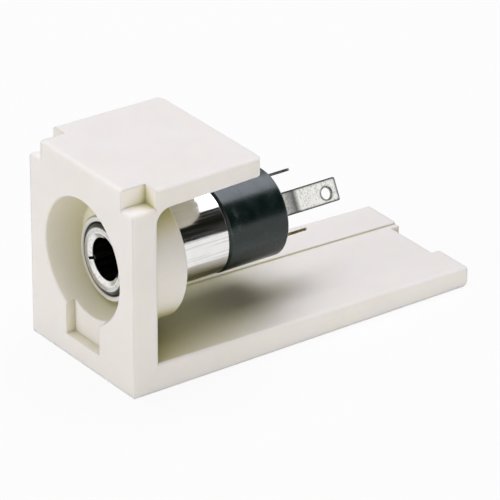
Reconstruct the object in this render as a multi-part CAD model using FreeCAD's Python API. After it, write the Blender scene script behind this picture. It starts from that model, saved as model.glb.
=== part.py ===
import FreeCAD, Part
import math
import os

from FreeCAD import Vector

# Snap-in faceplate module with a 3.5 mm three-contact socket.
# X runs across the front, Y from the front face to the rear, Z upwards, in millimetres.
# Sizes below are counted from the front face; save() moves the origin under the middle.

# Housing
WIDTH = 14.5
HEIGHT = 17.6
WALL = 2.3
PLATE_REAR = 12.6
PLATE_ROOT_THICKNESS = 1.75
PLATE_END_THICKNESS = 1.55
PLATE_SIDE_TAPER = 0.15
PLATE_CORNER_RADIUS = 0.7
GUSSET_RADIUS = 1.3
POCKET_WIDTH = 1.6
POCKET_DEPTH = 1.6
POCKET_EDGE_RADIUS = 0.4
TOP_EDGE_RADIUS = 0.3
PLATE_RIM_CHAMFER = 0.15
ARM_REAR = 33.5
ARM_ROOT_THICKNESS = 2.4
ARM_END_THICKNESS = 1.65
ARM_SIDE_TAPER = 0.4
ARM_END_RADIUS = 0.5
STRIP_INNER_X = -3.05
STRIP_RISE = 0.2
ARM_EDGE_CHAMFER = 0.15
STRIP_EDGE_CHAMFER = 0.08
NOTCH_LEFT_X = -2.5
NOTCH_RIGHT_X = 3.05
NOTCH_DEPTH = 0.8
KEYWAY_HALF_WIDTH = 2.35
KEYWAY_FLOOR_Z = 1.8
KEYWAY_DEPTH = 0.86

# Collar and recess round the socket
AXIS_Z = 8.72
COLLAR_RADIUS = 5.85
COLLAR_REAR = 6.3
COLLAR_DRAFT = 0.08
COLLAR_CHAMFER = 0.15
RECESS_RISE = 0.51
MOUTH_RADIUS = 5.28
MOUTH_CHAMFER = 0.12
RECESS_FLOOR = 3.0
RECESS_FLOOR_RADIUS = 4.3
RECESS_BULGE = 0.2
WEB = 1.4
BARREL_POCKET_GAP = 0.1

# Turned shell: threaded bush in front, barrel behind
SEAT_GAP = 0.03
BUSH_FRONT = 2.05
BUSH_RADIUS = 2.95
BUSH_LIP_RADIUS = 2.75
BUSH_LIP = 0.2
BORE_RADIUS = 1.8
BORE_CHAMFER_RADIUS = 2.2
BORE_CHAMFER = 0.2
SLIT_WIDTH = 0.25
SLIT_LENGTH = 0.35
SLIT_ANGLE = 198.0
BARREL_RADIUS = 3.73
BARREL_WALL = 0.58
BARREL_FLOOR = 6.6
BARREL_REAR = 11.8
BARREL_BEVEL = 0.12

# Ring nut and washer
NUT_FRONT = 2.25
NUT_RADIUS = 3.6
NUT_CHAMFER = 0.15
WASHER_THICKNESS = 0.4
WASHER_RADIUS = 3.6

# Insulators
GUIDE_BORE_RADIUS = 2.1
GUIDE_CHAMFER = 0.3
RING_SPRING_ROOM = 0.35
BODY_RADIUS = 3.79
BODY_CHAMFER = 0.15
CHAMBER_RADIUS = 2.8
TIP_SPRING_ROOM = 1.39
REAR_WALL = 0.86
SLOT_GAP = 0.04

# Sleeve lug
LUG_ANGLE = 28.0
LUG_THICKNESS = 0.25
LUG_WIDTH = 1.96
LUG_INNER_RADIUS = 2.1
LUG_TAB_RADIUS = 2.3
LUG_FOOT_SETBACK = 0.5
LUG_NECK = 1.2
LUG_JOGGLE = 0.7
LUG_TAB = 4.03
LUG_CORNER_RADIUS = 0.15
LUG_EYE_SETBACK = 1.12
LUG_EYE_DROP = 0.15
LUG_EYE_RADIUS = 0.5
BEND_RADIUS = 0.3

# Tip and ring terminals
TERMINAL_RADIUS = 2.52
TERMINAL_THICKNESS = 0.22
TERMINAL_WIDTH = 1.2
TERMINAL_LENGTH = 3.4
TERMINAL_POINT = 0.35
TIP_ANGLE = 120.0
TIP_TERMINAL_SETBACK = 1.3
RING_ANGLE = 300.0
WELD_OVERLAP = 1.2

# Contact springs
SPRING_THICKNESS = 0.2
SPRING_WIDTH = 1.1
SPRING_ARM_RADIUS = 1.95
SPRING_BEND_RADIUS = 0.25
SPRING_DIMPLE = 0.8
TIP_ROOT_SETBACK = 0.3
TIP_REACH = 12.5
TIP_TOUCH_RADIUS = 1.58
TIP_SPRING_END_RADIUS = 1.78
RING_ROOT_SETBACK = 0.9
RING_REACH = 9.0
RING_TOUCH_RADIUS = 1.6
RING_SPRING_END_RADIUS = 1.93

WEB_REAR = RECESS_FLOOR + WEB
SHOULDER = WEB_REAR + WASHER_THICKNESS
BARREL_BORE = BARREL_RADIUS - BARREL_WALL
SPIGOT_RADIUS = BARREL_BORE - SEAT_GAP
SPIGOT_FRONT = BUSH_FRONT + RING_REACH - SPRING_DIMPLE - RING_SPRING_ROOM
BODY_FRONT = BARREL_REAR + SEAT_GAP
CHAMBER_REAR = BUSH_FRONT + TIP_REACH + SPRING_DIMPLE + TIP_SPRING_ROOM
BODY_REAR = CHAMBER_REAR + REAR_WALL
LUG_FOOT_Y = SPIGOT_FRONT + LUG_FOOT_SETBACK
LUG_TAB_START = BODY_REAR + LUG_NECK + LUG_JOGGLE
LUG_END = LUG_TAB_START + LUG_TAB
TERMINAL_END = BODY_REAR + TERMINAL_LENGTH
SPRING_ROOT_RADIUS = TERMINAL_RADIUS - TERMINAL_THICKNESS / 2 - SEAT_GAP - SPRING_THICKNESS / 2
TIP_TERMINAL_FRONT = SPIGOT_FRONT + TIP_TERMINAL_SETBACK
TIP_ROOT = TIP_TERMINAL_FRONT + TIP_ROOT_SETBACK
RING_ROOT = CHAMBER_REAR - RING_ROOT_SETBACK
RING_TERMINAL_FRONT = RING_ROOT - WELD_OVERLAP
HALF = WIDTH / 2
AXIS = Vector(0, 0, AXIS_Z)
REARWARD = Vector(0, 1, 0)


def face_of(points):
    return Part.Face(Part.makePolygon(points + points[:1]))


def section(left, right, low, top, left_cut=0, right_cut=0):
    """Upright cross-section as (x, z) corners, with its upper corners cut off."""
    corners = [
        (left, low),
        (right, low),
        (right, top - right_cut),
        (right - right_cut, top),
        (left + left_cut, top),
        (left, top - left_cut),
    ]
    return list(dict.fromkeys(corners))


def tapered_bar(y_front, front, y_rear, rear):
    """Bar between two cross-sections with the same number of corners."""
    near, far = [[Vector(x, y, z) for x, z in corners] for y, corners in ((y_front, front), (y_rear, rear))]
    faces = [face_of(near), face_of(far)]
    for index in range(len(near)):
        following = (index + 1) % len(near)
        faces.append(face_of([near[index], near[following], far[following], far[index]]))
    return Part.Solid(Part.Shell(faces))


def block(x_range, y_range, z_range):
    corner = Vector(x_range[0], y_range[0], z_range[0])
    size = Vector(x_range[1], y_range[1], z_range[1]) - corner
    return Part.makeBox(size.x, size.y, size.z, corner)


def turned(profile):
    """Solid of revolution on the socket's axis from (radius, y) points."""
    points = [Vector(radius, y, AXIS_Z) for radius, y in profile]
    return face_of(points).revolve(AXIS, REARWARD, 360)


def ring(inner, outer, y_front, y_rear):
    return turned([(inner, y_front), (outer, y_front), (outer, y_rear), (inner, y_rear)])


def at_angle(shape, angle):
    """Turn a piece built straight above the axis to its place, counted from +X towards +Z."""
    shape.rotate(AXIS, REARWARD, 90 - angle)
    return shape


def edges_through(shape, points):
    """The edge nearest to each point."""
    chosen = []
    for point in points:
        probe = Part.Vertex(point)
        chosen.append(min(shape.Edges, key=lambda edge: edge.distToShape(probe)[0]))
    return chosen


def bent_side(path, bend_radius, offset):
    """One side of a bent strip: points and the middle of each bend, offset from the centre line."""
    steps = [(end - start).normalize() for start, end in zip(path, path[1:])]
    normals = [Vector(0, -step.z, step.y) for step in steps]
    pieces = []
    start = path[0] + normals[0] * offset
    for index in range(1, len(path) - 1):
        before, after = steps[index - 1], steps[index]
        turn = before.getAngle(after)
        side = 1 if before.y * after.z - before.z * after.y > 0 else -1
        reach = bend_radius * math.tan(turn / 2)
        arc_start = path[index] - before * reach
        centre = arc_start + normals[index - 1] * (side * bend_radius)
        outwards = (normals[index - 1] + normals[index]).normalize() * -side
        middle = centre + outwards * (bend_radius - side * offset)
        arc_start = arc_start + normals[index - 1] * offset
        arc_end = path[index] + after * reach + normals[index] * offset
        pieces.append(Part.makeLine(start, arc_start))
        pieces.append(Part.Arc(arc_start, middle, arc_end).toShape())
        start = arc_end
    pieces.append(Part.makeLine(start, path[-1] + normals[-1] * offset))
    return pieces


def bent_strip(path, bend_radius, thickness, width):
    """Sheet-metal strip above the axis; its centre line is given as (y, radius) points."""
    path = [Vector(-width / 2, y, AXIS_Z + radius) for y, radius in path]
    upper = bent_side(path, bend_radius, thickness / 2)
    lower = bent_side(path, bend_radius, -thickness / 2)
    ends = []
    for upper_point, lower_point in (
        (upper[0].firstVertex().Point, lower[0].firstVertex().Point),
        (upper[-1].lastVertex().Point, lower[-1].lastVertex().Point),
    ):
        ends.append(Part.makeLine(upper_point, lower_point))
    outline = Part.Wire(Part.__sortEdges__(upper + lower + ends))
    return Part.Face(outline).extrude(Vector(width, 0, 0))


def flat_terminal(y_front):
    """Straight flat pin with a narrowed point."""
    outer_z = AXIS_Z + TERMINAL_RADIUS - TERMINAL_THICKNESS / 2
    half = TERMINAL_WIDTH / 2
    narrow = half - TERMINAL_POINT
    outline = [
        Vector(-half, y_front, outer_z),
        Vector(half, y_front, outer_z),
        Vector(half, TERMINAL_END - TERMINAL_POINT, outer_z),
        Vector(narrow, TERMINAL_END, outer_z),
        Vector(-narrow, TERMINAL_END, outer_z),
        Vector(-half, TERMINAL_END - TERMINAL_POINT, outer_z),
    ]
    return face_of(outline).extrude(Vector(0, 0, TERMINAL_THICKNESS))


def contact_spring(root_y, reach, touch_radius, end_radius):
    """Leaf that runs from its rounded root to a V-shaped touching point and turns up behind it."""
    touch_y = BUSH_FRONT + reach
    ahead = SPRING_DIMPLE if touch_y > root_y else -SPRING_DIMPLE
    leaf = bent_strip([
        (root_y, SPRING_ROOT_RADIUS),
        (touch_y - ahead, SPRING_ARM_RADIUS),
        (touch_y, touch_radius),
        (touch_y + ahead, end_radius),
    ], SPRING_BEND_RADIUS, SPRING_THICKNESS, SPRING_WIDTH)
    root = Vector(-SPRING_WIDTH / 2, root_y, AXIS_Z + SPRING_ROOT_RADIUS)
    rounded_root = Part.makeCylinder(SPRING_THICKNESS / 2, SPRING_WIDTH, root, Vector(1, 0, 0))
    return leaf.fuse(rounded_root).removeSplitter()


def recess_tool():
    """Bowl of the plug recess on its own, higher axis: chamfered mouth, hollow side, flat floor."""
    centre = Vector(0, 0, AXIS_Z + RECESS_RISE)
    mouth = centre + Vector(MOUTH_RADIUS + MOUTH_CHAMFER, 0, 0)
    lip = centre + Vector(MOUTH_RADIUS, MOUTH_CHAMFER, 0)
    floor_edge = centre + Vector(RECESS_FLOOR_RADIUS, RECESS_FLOOR, 0)
    floor_centre = centre + Vector(0, RECESS_FLOOR, 0)
    hollow = (lip + floor_edge) * 0.5 + Vector(RECESS_BULGE, 0, 0)
    edges = [
        Part.makeLine(centre, mouth),
        Part.makeLine(mouth, lip),
        Part.Arc(lip, hollow, floor_edge).toShape(),
        Part.makeLine(floor_edge, floor_centre),
        Part.makeLine(floor_centre, centre),
    ]
    return Part.Face(Part.Wire(edges)).revolve(centre, REARWARD, 360)


def housing_frame():
    """Front wall, top plate and long arm, with the hollow corner under the plate."""
    wall = block((-HALF, HALF), (0, WALL), (0, HEIGHT))
    plate_half = HALF - PLATE_SIDE_TAPER
    plate = tapered_bar(
        WALL, section(-HALF, HALF, HEIGHT - PLATE_ROOT_THICKNESS, HEIGHT),
        PLATE_REAR, section(-plate_half, plate_half, HEIGHT - PLATE_END_THICKNESS, HEIGHT),
    )
    arm_half = HALF - ARM_SIDE_TAPER
    arm = tapered_bar(
        WALL, section(-HALF, HALF, 0, ARM_ROOT_THICKNESS, 0, ARM_EDGE_CHAMFER),
        ARM_REAR, section(-arm_half, arm_half, 0, ARM_END_THICKNESS, 0, ARM_EDGE_CHAMFER),
    )
    frame = wall.fuse([plate, arm]).removeSplitter()
    frame = frame.makeFillet(GUSSET_RADIUS, edges_through(frame, [Vector(0, WALL, HEIGHT - PLATE_ROOT_THICKNESS)]))
    corner_z = HEIGHT - PLATE_END_THICKNESS / 2
    plate_corners = [Vector(side * plate_half, PLATE_REAR, corner_z) for side in (-1, 1)]
    frame = frame.makeFillet(PLATE_CORNER_RADIUS, edges_through(frame, plate_corners))
    frame = frame.makeFillet(ARM_END_RADIUS, edges_through(frame, [Vector(0, ARM_REAR, 0)]))
    return frame


def raised_strip():
    cuts = (ARM_EDGE_CHAMFER, STRIP_EDGE_CHAMFER)
    root_low = ARM_ROOT_THICKNESS / 2
    end_low = ARM_END_THICKNESS / 2
    return tapered_bar(
        WALL, section(-HALF, STRIP_INNER_X, root_low, ARM_ROOT_THICKNESS + STRIP_RISE, *cuts),
        ARM_REAR, section(ARM_SIDE_TAPER - HALF, STRIP_INNER_X, end_low, ARM_END_THICKNESS + STRIP_RISE, *cuts),
    )


def collar():
    rear_radius = COLLAR_RADIUS - COLLAR_DRAFT
    return turned([
        (0, WALL / 2),
        (COLLAR_RADIUS, WALL / 2),
        (rear_radius, COLLAR_REAR - COLLAR_CHAMFER),
        (rear_radius - COLLAR_CHAMFER, COLLAR_REAR),
        (0, COLLAR_REAR),
    ])


def soften(body):
    """Broken upper edges of the front wall and the plate."""
    body = body.makeFillet(TOP_EDGE_RADIUS, edges_through(body, [Vector(0, 0, HEIGHT)]))
    return body.makeChamfer(PLATE_RIM_CHAMFER, edges_through(body, [Vector(0, PLATE_REAR, HEIGHT)]))


def make_housing():
    body = housing_frame().fuse([raised_strip(), collar()]).removeSplitter()
    pocket_floor = HEIGHT - POCKET_DEPTH
    for side in (-1, 1):
        inner = side * (HALF - POCKET_WIDTH)
        x_range = (min(inner, side * HALF), max(inner, side * HALF))
        body = body.cut(block(x_range, (0, WALL), (pocket_floor, HEIGHT)))
    shoulder_edges = []
    for side in (-1, 1):
        shoulder_edges.append(Vector(side * (HALF - POCKET_WIDTH / 2), 0, pocket_floor))
        shoulder_edges.append(Vector(side * HALF, WALL / 2, pocket_floor))
    body = body.makeFillet(POCKET_EDGE_RADIUS, edges_through(body, shoulder_edges))
    body = soften(body)
    keyway_x = (-KEYWAY_HALF_WIDTH, KEYWAY_HALF_WIDTH)
    body = body.cut(block(keyway_x, (0, KEYWAY_DEPTH), (KEYWAY_FLOOR_Z, AXIS_Z)))
    body = body.cut(recess_tool())
    body = body.cut(ring(0, BUSH_RADIUS + SEAT_GAP, RECESS_FLOOR - WEB, WEB_REAR + WEB))
    body = body.cut(ring(0, BARREL_RADIUS + BARREL_POCKET_GAP, WEB_REAR, COLLAR_REAR + WEB))
    arm_top = ARM_ROOT_THICKNESS + STRIP_RISE
    return body.cut(block((NOTCH_LEFT_X, NOTCH_RIGHT_X), (ARM_REAR - NOTCH_DEPTH, ARM_REAR), (0, arm_top)))


def make_jack_shell():
    shell = turned([
        (BORE_CHAMFER_RADIUS, BUSH_FRONT),
        (BUSH_LIP_RADIUS, BUSH_FRONT),
        (BUSH_RADIUS, BUSH_FRONT + BUSH_LIP),
        (BUSH_RADIUS, SHOULDER),
        (BARREL_RADIUS, SHOULDER),
        (BARREL_RADIUS, BARREL_REAR - BARREL_BEVEL),
        (BARREL_RADIUS - BARREL_BEVEL, BARREL_REAR),
        (BARREL_BORE, BARREL_REAR),
        (BARREL_BORE, BARREL_FLOOR),
        (BORE_RADIUS, BARREL_FLOOR),
        (BORE_RADIUS, BUSH_FRONT + BORE_CHAMFER),
    ])
    slit = block(
        (-SLIT_WIDTH / 2, SLIT_WIDTH / 2),
        (BUSH_FRONT, BUSH_FRONT + SLIT_LENGTH),
        (AXIS_Z, AXIS_Z + BORE_CHAMFER_RADIUS),
    )
    return shell.cut(at_angle(slit, SLIT_ANGLE))


def make_ring_nut():
    bore = BUSH_RADIUS + SEAT_GAP
    return turned([
        (bore + NUT_CHAMFER, NUT_FRONT),
        (NUT_RADIUS - NUT_CHAMFER, NUT_FRONT),
        (NUT_RADIUS, NUT_FRONT + NUT_CHAMFER),
        (NUT_RADIUS, RECESS_FLOOR),
        (bore, RECESS_FLOOR),
        (bore, NUT_FRONT + NUT_CHAMFER),
    ])


def make_seat_washer():
    return ring(BUSH_RADIUS + SEAT_GAP, WASHER_RADIUS, WEB_REAR, SHOULDER)


def make_guide_insulator():
    front = BARREL_FLOOR
    rear = SPIGOT_FRONT
    return turned([
        (GUIDE_BORE_RADIUS + GUIDE_CHAMFER, front),
        (SPIGOT_RADIUS, front),
        (SPIGOT_RADIUS, rear),
        (GUIDE_BORE_RADIUS + GUIDE_CHAMFER, rear),
        (GUIDE_BORE_RADIUS, rear - GUIDE_CHAMFER),
        (GUIDE_BORE_RADIUS, front + GUIDE_CHAMFER),
    ])


def strip_slot(radius, thickness, width):
    """Cutter for a slot in the rear wall round a flat strip."""
    half = width / 2 + SLOT_GAP
    low = AXIS_Z + radius - thickness / 2 - SLOT_GAP
    return block((-half, half), (CHAMBER_REAR, BODY_REAR), (low, low + thickness + 2 * SLOT_GAP))


def make_insulator_body():
    body = turned([
        (0, SPIGOT_FRONT),
        (SPIGOT_RADIUS, SPIGOT_FRONT),
        (SPIGOT_RADIUS, BODY_FRONT),
        (BODY_RADIUS - BODY_CHAMFER, BODY_FRONT),
        (BODY_RADIUS, BODY_FRONT + BODY_CHAMFER),
        (BODY_RADIUS, BODY_REAR - BODY_CHAMFER),
        (BODY_RADIUS - BODY_CHAMFER, BODY_REAR),
        (0, BODY_REAR),
    ])
    body = body.cut(ring(0, CHAMBER_RADIUS, SPIGOT_FRONT, CHAMBER_REAR))
    lug_half = LUG_WIDTH / 2 + SLOT_GAP
    window_rear = LUG_FOOT_Y + LUG_THICKNESS / 2 + SLOT_GAP
    window = block((-lug_half, lug_half), (SPIGOT_FRONT, window_rear), (AXIS_Z, AXIS_Z + BARREL_RADIUS))
    body = body.cut(at_angle(window, LUG_ANGLE))
    body = body.cut(at_angle(strip_slot(LUG_INNER_RADIUS, LUG_THICKNESS, LUG_WIDTH), LUG_ANGLE))
    for angle in (TIP_ANGLE, RING_ANGLE):
        slot = strip_slot(TERMINAL_RADIUS, TERMINAL_THICKNESS, TERMINAL_WIDTH)
        body = body.cut(at_angle(slot, angle))
    return body


def make_sleeve_lug():
    """Strip from a foot on the barrel's wall, through the rear wall, to the soldering tab."""
    foot = math.sqrt(BARREL_BORE ** 2 - (LUG_WIDTH / 2) ** 2) - SEAT_GAP
    strip = bent_strip([
        (LUG_FOOT_Y, foot),
        (LUG_FOOT_Y, LUG_INNER_RADIUS),
        (BODY_REAR + LUG_NECK, LUG_INNER_RADIUS),
        (LUG_TAB_START, LUG_TAB_RADIUS),
        (LUG_END, LUG_TAB_RADIUS),
    ], BEND_RADIUS, LUG_THICKNESS, LUG_WIDTH)
    corners = [Vector(side * LUG_WIDTH / 2, LUG_END, AXIS_Z + LUG_TAB_RADIUS) for side in (-1, 1)]
    strip = strip.makeFillet(LUG_CORNER_RADIUS, edges_through(strip, corners))
    eye_place = Vector(LUG_EYE_DROP, LUG_END - LUG_EYE_SETBACK, AXIS_Z)
    eye = Part.makeCylinder(LUG_EYE_RADIUS, BARREL_RADIUS, eye_place, Vector(0, 0, 1))
    return at_angle(strip.cut(eye), LUG_ANGLE)


def save(name, shape):
    shape.translate(Vector(0, -ARM_REAR / 2, 0))
    shape.exportStep("parts/" + name + ".step")


def main():
    os.makedirs("parts", exist_ok=True)
    save("housing", make_housing())
    save("jack_shell", make_jack_shell())
    save("ring_nut", make_ring_nut())
    save("seat_washer", make_seat_washer())
    save("guide_insulator", make_guide_insulator())
    save("insulator_body", make_insulator_body())
    save("sleeve_lug", make_sleeve_lug())
    save("tip_terminal", at_angle(flat_terminal(TIP_TERMINAL_FRONT), TIP_ANGLE))
    save("ring_terminal", at_angle(flat_terminal(RING_TERMINAL_FRONT), RING_ANGLE))
    tip_spring = contact_spring(TIP_ROOT, TIP_REACH, TIP_TOUCH_RADIUS, TIP_SPRING_END_RADIUS)
    ring_spring = contact_spring(RING_ROOT, RING_REACH, RING_TOUCH_RADIUS, RING_SPRING_END_RADIUS)
    save("tip_spring", at_angle(tip_spring, TIP_ANGLE))
    save("ring_spring", at_angle(ring_spring, RING_ANGLE))


main()
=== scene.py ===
import math

import bpy
from mathutils import Matrix, Vector


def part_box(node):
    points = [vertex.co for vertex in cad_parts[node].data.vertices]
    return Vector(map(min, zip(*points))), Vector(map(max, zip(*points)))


# Metres, in the frame of the CAD model: X across the front, Y to the rear, Z upwards.

# Camera
AZIMUTH = math.radians(54.47)
ELEVATION = math.radians(26.64)
ROLL = math.radians(0.04)
DISTANCE = 0.3837
CLIP_FACTOR = 100
SENSOR_MILLIMETRES = 36
IMAGE_WIDTH = 500
FOCAL_PIXELS = 4761
AIM = Vector((0, -0.00475, 0.007))
AIM_PIXEL = (205.8, 246.8)

# Socket: its axis, and where the lug's neck and tab begin
AXIS_Z = 0.00872
LUG_NECK_Y = 0.00085
LUG_TAB_Y = 0.003
CENTIMETRES = 100

# Ivory, painted shade: how far off a wall darkens a hollow, the depths behind the front face over which that
# painted shade comes in, and the share of Z in a normal over which a face comes to count as an upper one
HOLLOW_REACH = 0.015
HOLLOW_DEPTHS = (-0.0006, 0.0026)
UPPER_NORMALS = (0.6, 0.95)

# Plating: how far off a wall the painted shade of a crevice reaches
CREVICE_REACH = 0.0004

# Samples a ray takes for the painted shade of a hollow, for a softened edge and for the mask along an edge
HOLLOW_SAMPLES = 12
SOFT_EDGE_SAMPLES = 6
EDGE_MASK_SAMPLES = 8

# Surroundings
ROOM_COLOUR = (0.05, 0.046, 0.03, 1)
BACKDROP_COLOUR = (1, 1, 1, 1)
BACKDROP_RAYS = ("Is Camera Ray", "Is Glossy Ray", "Is Transmission Ray")
FLOOR_RADIUS = 0.6
FLOOR_CORNERS = 64
FLOOR_GAP = 0.00002
FLOOR_COLOUR = (0.85, 0.84, 0.76, 1)
FLOOR_WHITENESS = 0.88
FLAG_RADIUS = 0.3
FLAG_STEPS = 24
FLAG_ANGLES = (math.radians(8.5), math.radians(70.5))
FLAG_REACH = (0.0, 0.45)
FLAG_COLOUR = (0.022, 0.022, 0.016, 1)

# Lamps: name, place, point they face, width and height, watts, and whether reflections show them
LAMP_COLOUR = (1, 1, 1.2)
LAMPS = (
    ("top", (-0.1, 0.1, 0.6), (-0.1, 0.1, 0), (0.5, 0.7), 4.0, True),
    ("right", (0.55, -0.03, 0.03), (0, 0, 0.008), (0.35, 0.06), 1.1, True),
    ("front", (0, -0.6, 0.12), (0, 0, 0.008), (0.4, 0.2), 1.62, False),
)


def grey(value):
    return (value, value, value)


def new_material(name):
    material = bpy.data.materials.new(name)
    material.use_nodes = True
    nodes = material.node_tree.nodes
    return material, nodes, material.node_tree.links, nodes["Principled BSDF"]


def ramped(nodes, links, value, stops):
    """Colour that a value picks from stops of position and colour."""
    ramp = nodes.new("ShaderNodeValToRGB")
    elements = ramp.color_ramp.elements
    while len(elements) < len(stops):
        elements.new(0.5)
    for element, (position, colour) in zip(elements, stops):
        element.position = position
        element.color = (*colour, 1)
    links.new(value, ramp.inputs["Fac"])
    return ramp.outputs["Color"]


def object_noise(nodes, links, scale, detail=3.0, stretch=(1, 1, 1)):
    """Noise in the frame's own metres; stretch below 1 draws it out along that axis."""
    place = nodes.new("ShaderNodeTexCoord")
    mapping = nodes.new("ShaderNodeMapping")
    mapping.inputs["Scale"].default_value = stretch
    noise = nodes.new("ShaderNodeTexNoise")
    noise.inputs["Scale"].default_value = scale
    noise.inputs["Detail"].default_value = detail
    links.new(place.outputs["Object"], mapping.inputs["Vector"])
    links.new(mapping.outputs["Vector"], noise.inputs["Vector"])
    return noise.outputs["Fac"]


def add_bump(nodes, links, shader, height, strength, distance, edge_radius=0.0):
    """Bump from a height output, over edges softened by a small radius."""
    bump = nodes.new("ShaderNodeBump")
    bump.inputs["Strength"].default_value = strength
    bump.inputs["Distance"].default_value = distance
    links.new(height, bump.inputs["Height"])
    if edge_radius:
        bevel = nodes.new("ShaderNodeBevel")
        bevel.samples = SOFT_EDGE_SAMPLES
        bevel.inputs["Radius"].default_value = edge_radius
        links.new(bevel.outputs["Normal"], bump.inputs["Normal"])
    links.new(bump.outputs["Normal"], shader.inputs["Normal"])


def radius_from_axis(nodes, links):
    """Distance from the socket's axis, in centimetres, so that it suits a ramp's 0 to 1."""
    place = nodes.new("ShaderNodeTexCoord")
    across = nodes.new("ShaderNodeVectorMath")
    across.operation = "SUBTRACT"
    across.inputs[1].default_value = (0, 0, AXIS_Z)
    flat = nodes.new("ShaderNodeVectorMath")
    flat.operation = "MULTIPLY"
    flat.inputs[1].default_value = (CENTIMETRES, 0, CENTIMETRES)
    length = nodes.new("ShaderNodeVectorMath")
    length.operation = "LENGTH"
    links.new(place.outputs["Object"], across.inputs[0])
    links.new(across.outputs["Vector"], flat.inputs[0])
    links.new(flat.outputs["Vector"], length.inputs[0])
    return length.outputs["Value"]


def map_range(nodes, links, value, start, end):
    """0 up to the start, 1 from the end on, and evenly growing in between."""
    share = nodes.new("ShaderNodeMapRange")
    share.inputs["From Min"].default_value = start
    share.inputs["From Max"].default_value = end
    links.new(value, share.inputs["Value"])
    return share.outputs["Result"]


def along_y(nodes, links, start, end):
    """0 to 1 between two places along the part's length."""
    place = nodes.new("ShaderNodeTexCoord")
    parts = nodes.new("ShaderNodeSeparateXYZ")
    links.new(place.outputs["Object"], parts.inputs["Vector"])
    return map_range(nodes, links, parts.outputs["Y"], start, end)


def multiplied(nodes, links, result, *factors):
    """Product of two or more colours."""
    for factor in factors:
        product = nodes.new("ShaderNodeMix")
        product.data_type = "RGBA"
        product.blend_type = "MULTIPLY"
        product.inputs["Factor"].default_value = 1
        links.new(result, product.inputs["A"])
        links.new(factor, product.inputs["B"])
        result = product.outputs["Result"]
    return result


def painted_shade_factor(nodes, links):
    """Painted shade: 1 in the open and lower in a hollow; upper faces also count the pieces that stand over
    them, which paints their shadow.
    """
    alone, among_all = [nodes.new("ShaderNodeAmbientOcclusion") for _ in range(2)]
    alone.only_local = True
    for hollow in (alone, among_all):
        hollow.samples = HOLLOW_SAMPLES
        hollow.inputs["Distance"].default_value = HOLLOW_REACH
    face = nodes.new("ShaderNodeNewGeometry")
    parts = nodes.new("ShaderNodeSeparateXYZ")
    choice = nodes.new("ShaderNodeMix")
    links.new(face.outputs["Normal"], parts.inputs["Vector"])
    links.new(map_range(nodes, links, parts.outputs["Z"], *UPPER_NORMALS), choice.inputs["Factor"])
    links.new(alone.outputs["AO"], choice.inputs["A"])
    links.new(among_all.outputs["AO"], choice.inputs["B"])
    return choice.outputs["Result"]


def edge_shade(nodes, links, edge, radius=0.0003):
    """White on flat faces, falling to a grey within a radius of the edges."""
    bevel = nodes.new("ShaderNodeBevel")
    bevel.samples = EDGE_MASK_SAMPLES
    bevel.inputs["Radius"].default_value = radius
    face = nodes.new("ShaderNodeNewGeometry")
    alike = nodes.new("ShaderNodeVectorMath")
    alike.operation = "DOT_PRODUCT"
    links.new(bevel.outputs["Normal"], alike.inputs[0])
    links.new(face.outputs["True Normal"], alike.inputs[1])
    return ramped(nodes, links, alike.outputs["Value"], [(0.9, grey(edge)), (0.998, grey(1))])


def ivory_plastic(front):
    """Translucent ivory with painted shade: darker and yellower in the hollows that go deep behind its front
    face, and under the pieces that stand over its upper faces.
    """
    material, nodes, links, shader = new_material("ivory_plastic")
    mottle = object_noise(nodes, links, scale=260, detail=4)
    colour = ramped(nodes, links, mottle, [(0.35, (0.84, 0.805, 0.68)), (0.65, (0.86, 0.825, 0.705))])
    # painted shade: hollows, and the arm under the jack, get a darker and yellower colour
    shade = ramped(nodes, links, painted_shade_factor(nodes, links), [
        (0.2, (0.42, 0.42, 0.17)),
        (0.45, (0.72, 0.7, 0.43)),
        (0.7, grey(1)),
    ])
    # the painted shade comes in only behind the front face
    depth = along_y(nodes, links, front + HOLLOW_DEPTHS[0], front + HOLLOW_DEPTHS[1])
    tint = nodes.new("ShaderNodeMix")
    tint.data_type = "RGBA"
    tint.inputs["A"].default_value = (1, 1, 1, 1)
    links.new(depth, tint.inputs["Factor"])
    links.new(shade, tint.inputs["B"])
    links.new(multiplied(nodes, links, colour, tint.outputs["Result"]), shader.inputs["Base Color"])
    rough = ramped(nodes, links, mottle, [(0.3, grey(0.42)), (0.7, grey(0.5))])
    links.new(rough, shader.inputs["Roughness"])
    shader.inputs["Specular IOR Level"].default_value = 0.3
    shader.inputs["Subsurface Weight"].default_value = 0.35
    shader.inputs["Subsurface Radius"].default_value = (1.0, 0.85, 0.5)
    shader.inputs["Subsurface Scale"].default_value = 0.001
    grain = object_noise(nodes, links, scale=9000, detail=2)
    add_bump(nodes, links, shader, grain, strength=0.06, distance=0.00002, edge_radius=0.00025)
    return material


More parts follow.
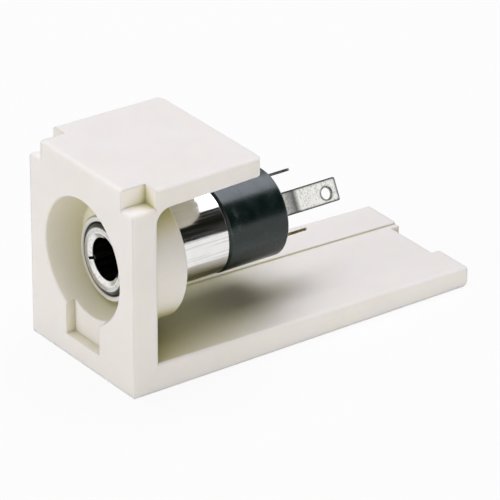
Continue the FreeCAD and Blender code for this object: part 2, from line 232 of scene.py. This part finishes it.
def nickel_plate():
    """Drawn barrel with fine streaks along its length; its turned front end shows ring bands, with painted
    shade inside the bore, in the thread groove and in its crevices.
    """
    material, nodes, links, shader = new_material("nickel_plate")
    shader.inputs["Metallic"].default_value = 1
    mottle = object_noise(nodes, links, scale=700)
    tint = ramped(nodes, links, mottle, [(0.3, (0.77, 0.765, 0.75)), (0.7, (0.85, 0.845, 0.835))])
    # painted shade: dark inside the bore and in a band over the thread groove; the other bands are the
    # turned ring faces
    rings_and_painted_shade = ramped(nodes, links, radius_from_axis(nodes, links), [
        (0.0, (0.45, 0.45, 0.42)),
        (0.179, (0.45, 0.45, 0.42)),
        (0.185, grey(1)),
        (0.225, grey(1)),
        (0.235, (0.76, 0.76, 0.77)),
        (0.262, grey(0.8)),
        (0.268, (0.14, 0.14, 0.13)),
        (0.298, grey(0.12)),
        (0.31, grey(1)),
    ])
    streaks = object_noise(nodes, links, scale=4000, stretch=(1, 0.03, 1))
    lines = ramped(nodes, links, streaks, [(0.36, (0.84, 0.84, 0.81)), (0.46, grey(1))])
    # painted shade: crevices in the plating go almost black
    crevice = nodes.new("ShaderNodeAmbientOcclusion")
    crevice.only_local = True
    crevice.inputs["Distance"].default_value = CREVICE_REACH
    painted_crevice_shade = ramped(nodes, links, crevice.outputs["AO"], [(0.4, (0.06, 0.06, 0.055)), (0.8, grey(1))])
    links.new(multiplied(nodes, links, tint, rings_and_painted_shade, lines, painted_crevice_shade), shader.inputs["Base Color"])
    rough = ramped(nodes, links, streaks, [(0.42, grey(0.07)), (0.62, grey(0.19))])
    links.new(rough, shader.inputs["Roughness"])
    add_bump(nodes, links, shader, streaks, strength=0.28, distance=0.00002, edge_radius=0.00004)
    return material


def nut_plate():
    """Satin turned ring, with painted shade where its thread begins."""
    material, nodes, links, shader = new_material("nut_plate")
    shader.inputs["Metallic"].default_value = 0.8
    # painted shade: dark at the inner edge, where the thread begins
    rings_and_painted_shade = ramped(nodes, links, radius_from_axis(nodes, links), [
        (0.0, grey(0.1)),
        (0.308, grey(0.06)),
        (0.316, (0.72, 0.71, 0.66)),
        (0.345, (0.84, 0.83, 0.78)),
        (0.355, (0.55, 0.55, 0.52)),
    ])
    links.new(rings_and_painted_shade, shader.inputs["Base Color"])
    pits = object_noise(nodes, links, scale=2500, detail=5)
    rough = ramped(nodes, links, pits, [(0.35, grey(0.28)), (0.65, grey(0.5))])
    links.new(rough, shader.inputs["Roughness"])
    add_bump(nodes, links, shader, pits, strength=0.25, distance=0.00003, edge_radius=0.00004)
    return material


def sheet_metal(name, low, high, edge, roughness):
    """Stamped strip with a stained plating, darker along its edges."""
    material, nodes, links, shader = new_material(name)
    shader.inputs["Metallic"].default_value = 1
    stain = object_noise(nodes, links, scale=1400, detail=5)
    colour = ramped(nodes, links, stain, [(0.35, low), (0.62, high)])
    links.new(multiplied(nodes, links, colour, edge_shade(nodes, links, edge)), shader.inputs["Base Color"])
    rough = ramped(nodes, links, stain, [(0.3, grey(roughness)), (0.7, grey(roughness * 1.3))])
    links.new(rough, shader.inputs["Roughness"])
    add_bump(nodes, links, shader, stain, strength=0.15, distance=0.00002)
    return material


def lug_plate():
    """Dull tinned tab, pale and mottled, with painted shade on the bent strip in front of it and a dark
    painted line at the bend.
    """
    material, nodes, links, shader = new_material("tinned_lug")
    shader.inputs["Metallic"].default_value = 0.05
    mottle = object_noise(nodes, links, scale=6000, detail=4)
    colour = ramped(nodes, links, mottle, [
        (0.38, (0.68, 0.68, 0.56)),
        (0.47, (0.96, 0.96, 0.8)),
        (0.6, (1.0, 1.0, 0.84)),
    ])
    # painted shade: the strip ahead of the tab darker, and a dark painted line at the bend
    painted_neck_shade = ramped(nodes, links, along_y(nodes, links, LUG_NECK_Y, LUG_TAB_Y), [
        (0.0, (0.42, 0.42, 0.41)),
        (0.45, (0.6, 0.6, 0.58)),
        (0.8, grey(0.12)),
        (1.0, grey(1)),
    ])
    edges = edge_shade(nodes, links, 0.03, radius=0.0004)
    links.new(multiplied(nodes, links, colour, painted_neck_shade, edges), shader.inputs["Base Color"])
    rough = ramped(nodes, links, mottle, [(0.35, grey(0.38)), (0.65, grey(0.55))])
    links.new(rough, shader.inputs["Roughness"])
    add_bump(nodes, links, shader, mottle, strength=0.3, distance=0.00003)
    return material


def black_plastic():
    """Glossy moulded plastic, faintly greenish, with small specks."""
    material, nodes, links, shader = new_material("black_plastic")
    mottle = object_noise(nodes, links, scale=900, detail=4)
    colour = ramped(nodes, links, mottle, [
        (0.3, (0.0025, 0.006, 0.005)),
        (0.64, (0.006, 0.013, 0.011)),
        (0.74, (0.03, 0.042, 0.038)),
    ])
    links.new(colour, shader.inputs["Base Color"])
    rough = ramped(nodes, links, mottle, [(0.3, grey(0.2)), (0.7, grey(0.3))])
    links.new(rough, shader.inputs["Roughness"])
    shader.inputs["Specular Tint"].default_value = (0.92, 1, 0.95, 1)
    grain = object_noise(nodes, links, scale=3500)
    add_bump(nodes, links, shader, grain, strength=0.12, distance=0.00002, edge_radius=0.0001)
    return material


def dress(frame):
    """Gives every CAD node its material."""
    nickel = nickel_plate()
    black = black_plastic()
    bronze = sheet_metal("spring_bronze", (0.55, 0.38, 0.22), (0.7, 0.5, 0.3), edge=0.6, roughness=0.3)
    tin = sheet_metal("dull_tin", (0.2, 0.2, 0.18), (0.36, 0.35, 0.32), edge=0.5, roughness=0.38)
    brass = sheet_metal("bare_brass", (0.5, 0.36, 0.14), (0.8, 0.64, 0.34), edge=0.6, roughness=0.3)
    materials = {
        "housing": ivory_plastic(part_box("housing")[0][1]),
        "jack_shell": nickel,
        "ring_nut": nut_plate(),
        "seat_washer": nickel,
        "guide_insulator": black,
        "insulator_body": black,
        "sleeve_lug": lug_plate(),
        "tip_terminal": tin,
        "ring_terminal": brass,
        "tip_spring": bronze,
        "ring_spring": bronze,
    }
    for name, material in materials.items():
        mesh = frame["nodes"][name].data
        mesh.materials.clear()
        mesh.materials.append(material)


def add_camera():
    """Camera at the photograph's angle; the aim point falls on its own pixel."""
    back = Vector((
        math.sin(AZIMUTH) * math.cos(ELEVATION),
        -math.cos(AZIMUTH) * math.cos(ELEVATION),
        math.sin(ELEVATION),
    ))
    level = Vector((math.cos(AZIMUTH), math.sin(AZIMUTH), 0))
    upright = back.cross(level)
    right = level * math.cos(ROLL) + upright * math.sin(ROLL)
    up = upright * math.cos(ROLL) - level * math.sin(ROLL)
    middle = IMAGE_WIDTH / 2
    metres_per_pixel = DISTANCE / FOCAL_PIXELS
    place = AIM + back * DISTANCE
    place -= right * (AIM_PIXEL[0] - middle) * metres_per_pixel
    place += up * (AIM_PIXEL[1] - middle) * metres_per_pixel
    data = bpy.data.cameras.new("camera")
    data.sensor_width = SENSOR_MILLIMETRES
    data.lens = FOCAL_PIXELS / IMAGE_WIDTH * SENSOR_MILLIMETRES
    data.clip_start = DISTANCE / CLIP_FACTOR
    data.clip_end = DISTANCE * CLIP_FACTOR
    camera = bpy.data.objects.new("camera", data)
    camera.matrix_world = Matrix((
        (right.x, up.x, back.x, place.x),
        (right.y, up.y, back.y, place.y),
        (right.z, up.z, back.z, place.z),
        (0, 0, 0, 1),
    ))
    bpy.context.scene.collection.objects.link(camera)
    bpy.context.scene.camera = camera


def add_lamp(name, place, aim, size, watts, in_reflections):
    data = bpy.data.lights.new(name, "AREA")
    data.shape = "RECTANGLE"
    data.size, data.size_y = size
    data.energy = watts
    data.color = LAMP_COLOUR
    lamp = bpy.data.objects.new(name, data)
    lamp.location = place
    lamp.rotation_mode = "QUATERNION"
    lamp.rotation_quaternion = (Vector(aim) - Vector(place)).to_track_quat("-Z", "Y")
    lamp.visible_glossy = in_reflections
    bpy.context.scene.collection.objects.link(lamp)


def seen_rays(nodes, links, kinds):
    """1 for a ray of one of these kinds and 0 for any other."""
    path = nodes.new("ShaderNodeLightPath")
    seen = path.outputs[kinds[0]]
    for kind in kinds[1:]:
        either = nodes.new("ShaderNodeMath")
        either.operation = "MAXIMUM"
        links.new(seen, either.inputs[0])
        links.new(path.outputs[kind], either.inputs[1])
        seen = either.outputs["Value"]
    return seen


def add_world():
    """White background to the camera, in reflections and through glass; dim warm light otherwise."""
    world = bpy.data.worlds.new("studio")
    world.use_nodes = True
    nodes, links = world.node_tree.nodes, world.node_tree.links
    choice = nodes.new("ShaderNodeMix")
    choice.data_type = "RGBA"
    choice.inputs["A"].default_value = ROOM_COLOUR
    choice.inputs["B"].default_value = BACKDROP_COLOUR
    links.new(seen_rays(nodes, links, BACKDROP_RAYS), choice.inputs["Factor"])
    links.new(choice.outputs["Result"], nodes["Background"].inputs["Color"])
    bpy.context.scene.world = world


def mesh_object(name, points, faces, material):
    mesh = bpy.data.meshes.new(name)
    mesh.from_pydata(points, [], faces)
    mesh.materials.append(material)
    made = bpy.data.objects.new(name, mesh)
    bpy.context.scene.collection.objects.link(made)
    return made


def add_flag():
    """Dark studio flag to the upper right of the socket, seen only in reflections."""
    material, _, _, shader = new_material("flag")
    shader.inputs["Base Color"].default_value = FLAG_COLOUR
    shader.inputs["Roughness"].default_value = 1
    shader.inputs["Specular IOR Level"].default_value = 0
    low, high = FLAG_ANGLES
    points = []
    for step in range(FLAG_STEPS + 1):
        angle = low + (high - low) * step / FLAG_STEPS
        for y in FLAG_REACH:
            points.append((FLAG_RADIUS * math.cos(angle), y, AXIS_Z + FLAG_RADIUS * math.sin(angle)))
    faces = [(2 * step, 2 * step + 1, 2 * step + 3, 2 * step + 2) for step in range(FLAG_STEPS)]
    flag = mesh_object("flag", points, faces, material)
    flag.visible_camera = False
    flag.visible_diffuse = False
    flag.visible_shadow = False


def add_floor():
    """Pale floor that fades into the white background and keeps the shadow."""
    material, nodes, links, shader = new_material("floor")
    shader.inputs["Base Color"].default_value = FLOOR_COLOUR
    shader.inputs["Roughness"].default_value = 0.9
    white = nodes.new("ShaderNodeEmission")
    share = nodes.new("ShaderNodeMapRange")
    share.inputs["To Max"].default_value = FLOOR_WHITENESS
    blend = nodes.new("ShaderNodeMixShader")
    links.new(seen_rays(nodes, links, BACKDROP_RAYS), share.inputs["Value"])
    links.new(share.outputs["Result"], blend.inputs["Fac"])
    links.new(shader.outputs["BSDF"], blend.inputs[1])
    links.new(white.outputs["Emission"], blend.inputs[2])
    links.new(blend.outputs["Shader"], nodes["Material Output"].inputs["Surface"])
    angles = [step * math.tau / FLOOR_CORNERS for step in range(FLOOR_CORNERS)]
    ring = [(FLOOR_RADIUS * math.cos(angle), FLOOR_RADIUS * math.sin(angle), -FLOOR_GAP) for angle in angles]
    floor = mesh_object("floor", ring, [tuple(range(FLOOR_CORNERS))], material)


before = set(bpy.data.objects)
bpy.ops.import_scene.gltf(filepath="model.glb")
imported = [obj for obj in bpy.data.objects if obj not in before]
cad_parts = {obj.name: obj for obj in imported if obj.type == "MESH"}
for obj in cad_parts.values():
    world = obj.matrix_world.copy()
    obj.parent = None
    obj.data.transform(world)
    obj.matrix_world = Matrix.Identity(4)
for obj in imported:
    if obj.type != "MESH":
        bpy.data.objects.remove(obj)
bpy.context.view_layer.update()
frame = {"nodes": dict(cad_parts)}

dress(frame)
add_camera()
add_world()
for lamp in LAMPS:
    add_lamp(*lamp)
add_flag()
add_floor()
bpy.context.scene.view_settings.view_transform = "Standard"
